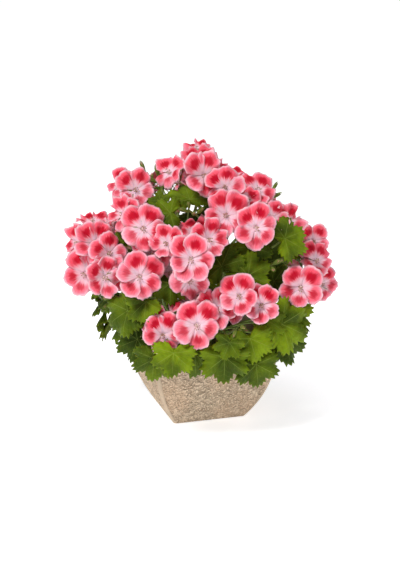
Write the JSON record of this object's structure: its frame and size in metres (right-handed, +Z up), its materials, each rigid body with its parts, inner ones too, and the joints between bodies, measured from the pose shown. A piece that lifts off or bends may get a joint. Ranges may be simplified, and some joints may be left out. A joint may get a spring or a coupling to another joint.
{
  "type": "potted pelargonium",
  "caption": "Rounded flowering pelargonium with ruffled blooms in heads over lobed leaves, standing in a square tapered pot.",
  "frame": {"origin": "middle of the pot's flat bottom", "axes": "+Z up along the plant; the pot's faces lie along X and Y, and the blooms in the picture face -Y"},
  "size_m": [0.3415, 0.3274, 0.3389],
  "materials": {
    "pot_stone": "beige stone look, matt and pebbled",
    "soil_peat": "damp dark peat crumb",
    "petals": "soft ruffled petals, salmon with crimson blotches and pale margins",
    "leaf_green": "matt green leaves with paler veins"
  },
  "bodies": {
    "root": {"pot": "pot_stone", "soil": "soil_peat", "head_a": "petals", "head_b": "petals", "head_c": "petals", "head_d": "petals", "head_e": "petals", "head_f": "petals", "head_g": "petals", "head_h": "petals", "head_i": "petals", "head_j": "petals", "head_l": "petals", "head_m": "petals", "head_n": "petals", "head_p": "petals", "head_q": "petals", "head_r": "petals", "head_s": "petals", "head_t": "petals", "head_u": "petals", "head_v": "petals", "head_w": "petals", "head_x": "petals", "stem_01": "leaf_green", "stem_02": "leaf_green", "stem_03": "leaf_green", "stem_04": "leaf_green", "stem_05": "leaf_green", "stem_06": "leaf_green", "stem_07": "leaf_green", "stem_08": "leaf_green", "stem_09": "leaf_green", "stem_10": "leaf_green"}
  },
  "joints": []
}
